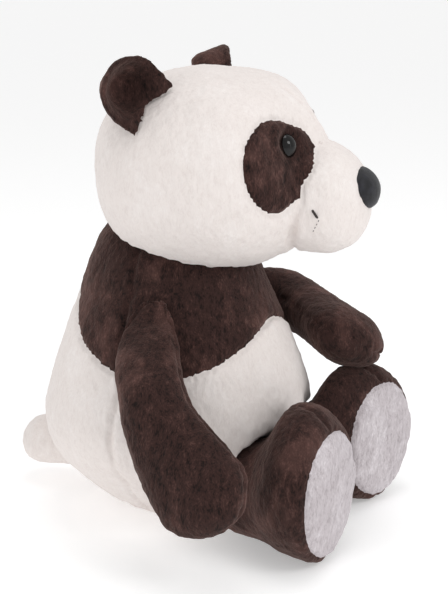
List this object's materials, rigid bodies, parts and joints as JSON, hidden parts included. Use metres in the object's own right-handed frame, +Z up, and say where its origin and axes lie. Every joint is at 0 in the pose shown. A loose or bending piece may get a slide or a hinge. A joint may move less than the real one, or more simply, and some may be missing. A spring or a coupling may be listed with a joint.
{
  "type": "sitting plush bear toy",
  "caption": "Sitting plush panda with a round head that turns and nods, sewn arms and legs that swing, a padded nose and a short tail.",
  "frame": {"origin": "centre of the body on the floor", "axes": "+Z up, front faces -Y, the panda's left is +X"},
  "size_m": [0.3533, 0.3727, 0.4368],
  "materials": {
    "white_plush": "short plush pile",
    "dark_plush": "short plush pile",
    "sole_plush": "short plush pile",
    "nose_plush": "short plush pile",
    "thread": "thick thread",
    "eye_plastic": "polished",
    "washer_nylon": "moulded",
    "stuffing": "loose fibre fill"
  },
  "bodies": {
    "torso": {"yoke_front": "dark_plush", "yoke_back": "dark_plush", "belly_panel": "white_plush", "back_panel": "white_plush", "base_panel": "white_plush", "torso_stuffing": "stuffing"},
    "neck": {"neck_thread": "thread"},
    "head": {"head_panel_left": "white_plush", "head_panel_right": "white_plush", "muzzle_cover": "white_plush", "nose_cover": "nose_plush", "mouth_stitches": "thread", "eye_patch_left": "dark_plush", "eye_patch_right": "dark_plush", "eye_left": "eye_plastic", "eye_right": "eye_plastic", "eye_washer_left": "washer_nylon", "eye_washer_right": "washer_nylon", "ear_left_front": "dark_plush", "ear_left_back": "dark_plush", "ear_right_front": "dark_plush", "ear_right_back": "dark_plush", "head_stuffing": "stuffing"},
    "arm_left": {"arm_left_outer": "dark_plush", "arm_left_inner": "dark_plush", "arm_stuffing_left": "stuffing"},
    "arm_right": {"arm_right_outer": "dark_plush", "arm_right_inner": "dark_plush", "arm_stuffing_right": "stuffing"},
    "leg_left": {"leg_left_outer": "dark_plush", "leg_left_inner": "dark_plush", "sole_left": "sole_plush", "leg_stuffing_left": "stuffing"},
    "leg_right": {"leg_right_outer": "dark_plush", "leg_right_inner": "dark_plush", "sole_right": "sole_plush", "leg_stuffing_right": "stuffing"},
    "tail": {"tail_cover": "white_plush", "tail_stuffing": "stuffing"}
  },
  "joints": [
    {"name": "head_turn", "type": "hinge", "parent": "torso", "child": "neck", "pos_m": [0, 0, 0.225], "axis": [0, 0, 1], "range_deg": [-25, 25], "stiffness_Nm_per_rad": 2},
    {"name": "head_nod", "type": "hinge", "parent": "neck", "child": "head", "pos_m": [0, 0, 0.225], "axis": [0.9976, 0.0698, 0], "range_deg": [-12, 5], "stiffness_Nm_per_rad": 8},
    {"name": "arm_left_lift", "type": "hinge", "parent": "torso", "child": "arm_left", "pos_m": [0.12871, -0.03424, 0.19], "axis": [-0.9164, 0.1781, -0.3584], "range_deg": [0, 25], "stiffness_Nm_per_rad": 0.8},
    {"name": "arm_right_raise", "type": "hinge", "parent": "torso", "child": "arm_right", "pos_m": [-0.12871, -0.03424, 0.19], "axis": [-0.1908, 0.9816, 0], "range_deg": [0, 75], "stiffness_Nm_per_rad": 0.8},
    {"name": "leg_left_drop", "type": "hinge", "parent": "torso", "child": "leg_left", "pos_m": [0.054, -0.104, 0.049], "axis": [1, 0, 0], "range_deg": [0, 40], "stiffness_Nm_per_rad": 1.5},
    {"name": "leg_right_drop", "type": "hinge", "parent": "torso", "child": "leg_right", "pos_m": [-0.054, -0.104, 0.049], "axis": [1, 0, 0], "range_deg": [0, 40], "stiffness_Nm_per_rad": 1.5},
    {"name": "tail_lift", "type": "hinge", "parent": "torso", "child": "tail", "pos_m": [0, 0.10429, 0.041], "axis": [1, 0, 0], "range_deg": [0, 15], "stiffness_Nm_per_rad": 0.3}
  ]
}
